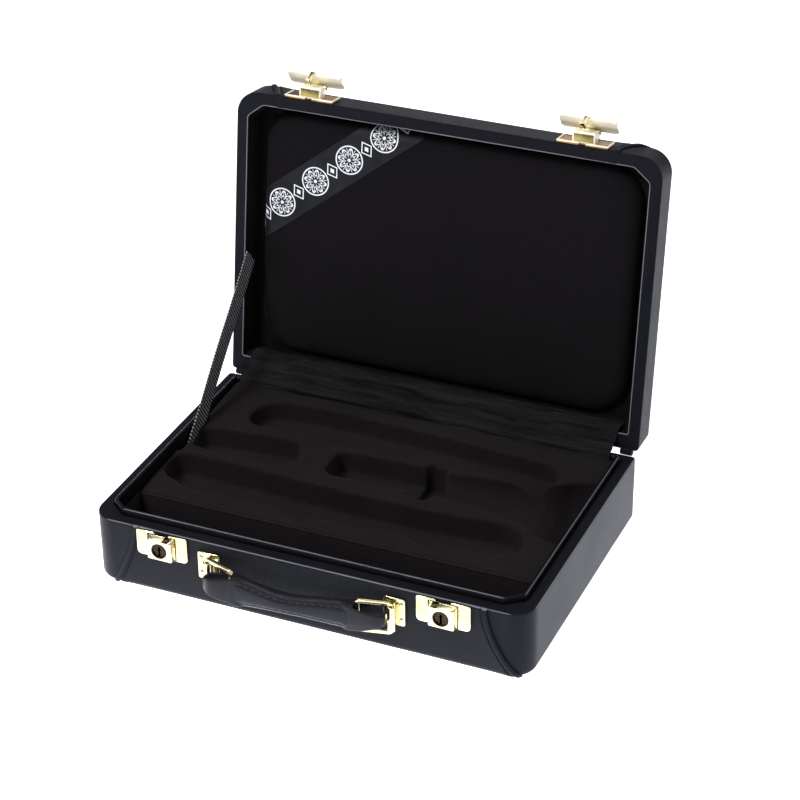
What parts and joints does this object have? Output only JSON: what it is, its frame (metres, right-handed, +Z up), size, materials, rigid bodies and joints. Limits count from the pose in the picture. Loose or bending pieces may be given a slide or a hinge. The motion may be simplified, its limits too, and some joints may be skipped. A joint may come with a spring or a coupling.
{
  "type": "clarinet case",
  "caption": "Leather-covered hard case, shown open, with a plush fitted tray, a padded lid with a satin ribbon, key-locked lever latches, a stay strap and a handle on swinging bails.",
  "frame": {"origin": "centre of the flat bottom", "axes": "+X along the case's length to the right seen from the front, +Y to the hinged back, +Z up"},
  "size_m": [0.33, 0.2994, 0.2932],
  "materials": {
    "leather": "semi-gloss pebbled grain, saddle stitched",
    "velvet": "plush velvet",
    "wood": "unfinished plywood, hidden under leather",
    "gilt_brass": "polished pale gilt",
    "lock_barrel": "blackened",
    "webbing": "twill webbing",
    "satin": "satin ribbon",
    "spring_steel": "bright steel"
  },
  "bodies": {
    "base": {"base_cover_left": "leather", "base_cover_right": "leather", "base_cover_front": "leather", "base_cover_back": "leather", "base_bottom_cover": "leather", "base_shell": "wood", "base_lip": "leather", "tray_insert": "velvet", "trough_liner": "velvet", "hinge_left_base_leaf": "gilt_brass", "hinge_right_base_leaf": "gilt_brass", "hinge_left_pin": "spring_steel", "hinge_right_pin": "spring_steel", "latch_base_plate_left": "gilt_brass", "latch_base_plate_right": "gilt_brass", "lock_spring_left": "spring_steel", "lock_spring_right": "spring_steel", "handle_plate_left": "gilt_brass", "handle_plate_right": "gilt_brass", "stay_strap": "webbing", "strap_anchor": "gilt_brass", "hinge_cloth": "velvet"},
    "lid": {"lid_cover_left": "leather", "lid_cover_right": "leather", "lid_cover_centre": "leather", "lid_shell": "wood", "lid_lining": "velvet", "lid_panel": "velvet", "lid_ribbon": "satin", "hinge_left_lid_leaf": "gilt_brass", "hinge_right_lid_leaf": "gilt_brass", "latch_lid_plate_left": "gilt_brass", "latch_lid_plate_right": "gilt_brass", "hasp_pin_left": "gilt_brass", "hasp_pin_right": "gilt_brass"},
    "hasp_left": {"hasp_left": "gilt_brass"},
    "lock_slide_left": {"lock_slide_left": "gilt_brass"},
    "lock_cylinder_left": {"lock_cylinder_left": "lock_barrel"},
    "bail_left": {"bail_left": "gilt_brass"},
    "hasp_right": {"hasp_right": "gilt_brass"},
    "lock_slide_right": {"lock_slide_right": "gilt_brass"},
    "lock_cylinder_right": {"lock_cylinder_right": "lock_barrel"},
    "bail_right": {"bail_right": "gilt_brass"},
    "handle_grip": {"handle_grip": "leather"}
  },
  "joints": [
    {"name": "lid_hinge", "type": "hinge", "parent": "base", "child": "lid", "pos_m": [0, 0.11365, 0.0534], "axis": [1, 0, 0], "range_deg": [0, 98.1], "deforming": ["stay_strap", "hinge_cloth"]},
    {"name": "grip_pull", "type": "slide", "parent": "base", "child": "handle_grip", "axis": [0, -1, 0], "range_m": [0, 0.0134]},
    {"name": "hasp_left_hinge", "type": "hinge", "parent": "lid", "child": "hasp_left", "pos_m": [-0.1079, 0.15961, 0.27978], "axis": [1, 0, 0], "range_deg": [0, 52], "stiffness_Nm_per_rad": 0.002, "springref_deg": -17.19},
    {"name": "lock_left_slide", "type": "slide", "parent": "base", "child": "lock_slide_left", "axis": [-1, 0, 0], "range_m": [0, 0.005], "stiffness_N_per_m": 150, "springref_m": -0.001, "deforming": ["lock_spring_left"]},
    {"name": "lock_left_turn", "type": "hinge", "parent": "lock_slide_left", "child": "lock_cylinder_left", "pos_m": [-0.1079, -0.11335, 0.04], "axis": [0, 1, 0], "range_deg": [0, 90]},
    {"name": "bail_left_turn", "type": "hinge", "parent": "base", "child": "bail_left", "pos_m": [-0.0706, -0.11385, 0.03], "axis": [0, 0, 1], "range_deg": [-46.2, 0]},
    {"name": "hasp_right_hinge", "type": "hinge", "parent": "lid", "child": "hasp_right", "pos_m": [0.1042, 0.15961, 0.27978], "axis": [1, 0, 0], "range_deg": [0, 52], "stiffness_Nm_per_rad": 0.002, "springref_deg": -17.19},
    {"name": "lock_right_slide", "type": "slide", "parent": "base", "child": "lock_slide_right", "axis": [1, 0, 0], "range_m": [0, 0.005], "stiffness_N_per_m": 150, "springref_m": -0.001, "deforming": ["lock_spring_right"]},
    {"name": "lock_right_turn", "type": "hinge", "parent": "lock_slide_right", "child": "lock_cylinder_right", "pos_m": [0.1042, -0.11335, 0.04], "axis": [0, 1, 0], "range_deg": [0, 90]},
    {"name": "bail_right_turn", "type": "hinge", "parent": "base", "child": "bail_right", "pos_m": [0.068, -0.11385, 0.03], "axis": [0, 0, 1], "range_deg": [0, 46.2]}
  ],
  "couplings": [
    {"joint": "bail_left_turn", "follows": "grip_pull", "rad_per_m": -59.914},
    {"joint": "bail_right_turn", "follows": "grip_pull", "rad_per_m": 59.914}
  ]
}
